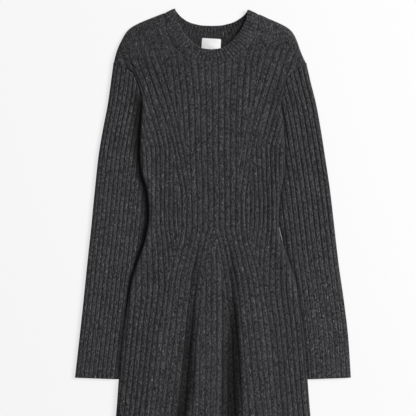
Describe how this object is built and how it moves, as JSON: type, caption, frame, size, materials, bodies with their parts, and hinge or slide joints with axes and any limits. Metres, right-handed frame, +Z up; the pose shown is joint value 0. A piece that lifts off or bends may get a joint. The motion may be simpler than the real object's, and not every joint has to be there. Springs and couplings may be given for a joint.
{
  "type": "sweater dress",
  "caption": "Long-sleeved rib-knit sweater dress with a crew neck, a shaped waist and a flared skirt, laid flat face up.",
  "frame": {"origin": "middle of the surface that the laid dress covers, at the height that it rests on", "axes": "+Y from hem to neck, +X towards the wearer's left, +Z up, out of the front of the dress"},
  "size_m": [0.576, 0.9, 0.0186],
  "materials": {
    "rib_knit": "matte",
    "label_tape": "satin"
  },
  "bodies": {
    "root": {"back": "rib_knit", "front": "rib_knit", "sleeve_right": "rib_knit", "sleeve_left": "rib_knit", "neckband": "rib_knit", "label": "label_tape"}
  },
  "joints": []
}
